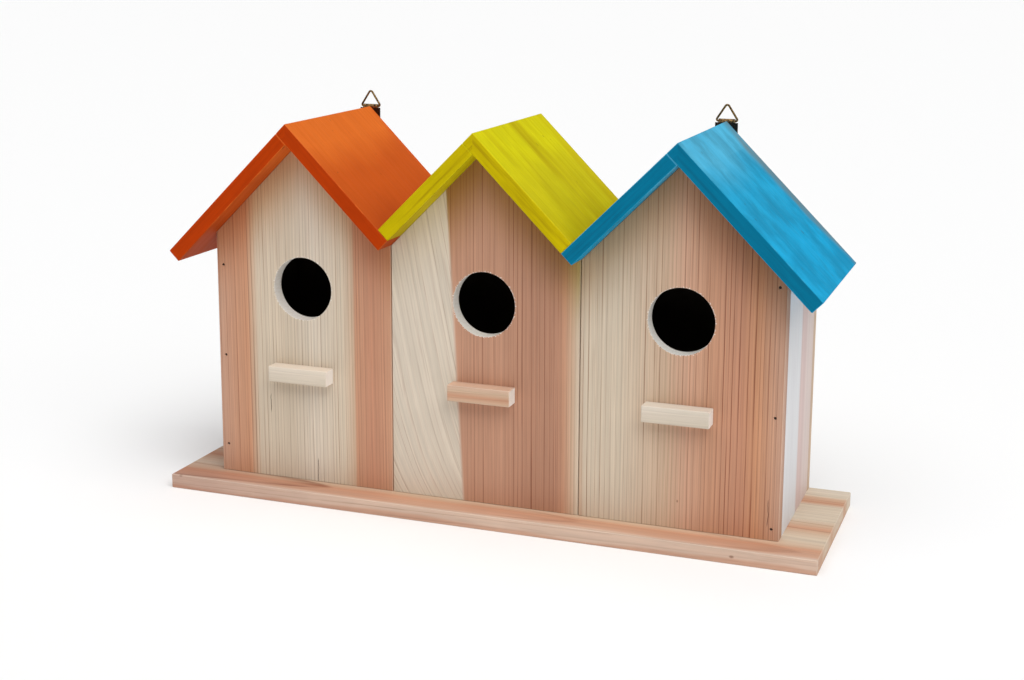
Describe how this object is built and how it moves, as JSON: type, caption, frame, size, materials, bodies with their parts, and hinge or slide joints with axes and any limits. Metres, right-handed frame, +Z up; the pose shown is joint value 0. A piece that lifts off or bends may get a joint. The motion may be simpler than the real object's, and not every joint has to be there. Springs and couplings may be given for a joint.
{
  "type": "birdhouse",
  "caption": "Row of gabled birdhouses on a shared base board, each with a round entrance, a square perch and a two-board roof, hung by hinged wire rings at the back.",
  "frame": {"origin": "underside of the base, in the middle of the object's length and depth", "axes": "+X along the row to the right seen from the front, -Y towards the front, +Z up"},
  "size_m": [0.418, 0.1258, 0.2507],
  "materials": {
    "base_wood": "bare planed cedar, satin",
    "pale_wood": "bare planed cedar sapwood, satin",
    "front_left_wood": "bare planed cedar with upright grain, satin",
    "front_middle_wood": "bare planed cedar, pale sapwood beside red heartwood, satin",
    "front_right_wood": "bare planed cedar with upright grain, satin",
    "back_wood": "bare planed cedar, satin",
    "wall_wood": "bare planed cedar sapwood, satin",
    "inner_wood": "bare sawn cedar, matte",
    "perch_pale_wood": "bare planed sapwood, satin",
    "perch_pink_wood": "bare planed cedar, satin",
    "orange_paint": "orange stain paint over wood, satin",
    "yellow_paint": "yellow stain paint over wood, satin",
    "blue_paint": "blue stain paint over wood, satin",
    "brad_steel": "dark steel",
    "hanger_plate_bronze": "dark bronzed steel, satin",
    "hanger_wire": "antique brass, worn",
    "screw_brass": "brass plated"
  },
  "bodies": {
    "house": {"base_board": "base_wood", "base_back_strip": "pale_wood", "front_panel_left": "front_left_wood", "front_panel_middle": "front_middle_wood", "front_panel_right": "front_right_wood", "back_panel_left": "back_wood", "back_panel_middle": "back_wood", "back_panel_right": "back_wood", "side_wall_left": "wall_wood", "side_wall_right": "wall_wood", "divider_left": "inner_wood", "divider_right": "inner_wood", "perch_left": "perch_pale_wood", "perch_middle": "perch_pink_wood", "perch_right": "perch_pale_wood", "roof_orange_left": "orange_paint", "roof_orange_right": "orange_paint", "roof_yellow_left": "yellow_paint", "roof_yellow_right": "yellow_paint", "roof_blue_left": "blue_paint", "roof_blue_right": "blue_paint", "front_brads": "brad_steel", "back_brads": "brad_steel", "base_brads": "brad_steel", "roof_brads": "brad_steel", "perch_brads": "brad_steel", "hanger_plate_left": "hanger_plate_bronze", "hanger_plate_right": "hanger_plate_bronze", "hanger_screws": "screw_brass"},
    "ring_left": {"hanger_ring_left": "hanger_wire"},
    "ring_right": {"hanger_ring_right": "hanger_wire"}
  },
  "joints": [
    {"name": "ring_left_swing", "type": "hinge", "parent": "house", "child": "ring_left", "pos_m": [-0.122, 0.0615, 0.24003], "axis": [-1, 0, 0], "range_deg": [-70, 178]},
    {"name": "ring_right_swing", "type": "hinge", "parent": "house", "child": "ring_right", "pos_m": [0.122, 0.0615, 0.24003], "axis": [-1, 0, 0], "range_deg": [-70, 178]}
  ]
}
